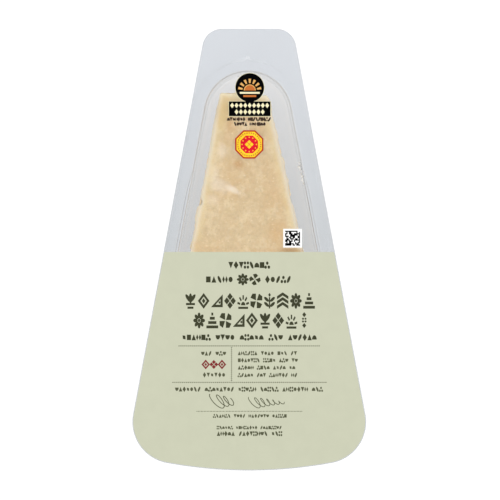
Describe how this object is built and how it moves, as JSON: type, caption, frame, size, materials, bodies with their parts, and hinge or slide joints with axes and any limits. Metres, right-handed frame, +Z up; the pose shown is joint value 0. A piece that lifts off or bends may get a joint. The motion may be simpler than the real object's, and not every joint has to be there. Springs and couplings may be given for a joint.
{
  "type": "parmesan wedge in a clear tray pack",
  "caption": "Long thin wedge of hard grating cheese in a clear tapered tray with a flat sealed lid film; the film is printed over its wide half and clear over the narrow half.",
  "frame": {"origin": "on the surface that the pack lies on, under the middle of its outline", "axes": "+Y along the pack towards its narrow end, +X across it to the right seen from above, +Z up out of the film"},
  "size_m": [0.1122, 0.212, 0.0275],
  "materials": {
    "clear_tray": "gloss",
    "hard_cheese": "matte",
    "printed_film": "satin"
  },
  "bodies": {
    "root": {"tray": "clear_tray", "cheese": "hard_cheese", "lid_film": "printed_film"}
  },
  "joints": []
}
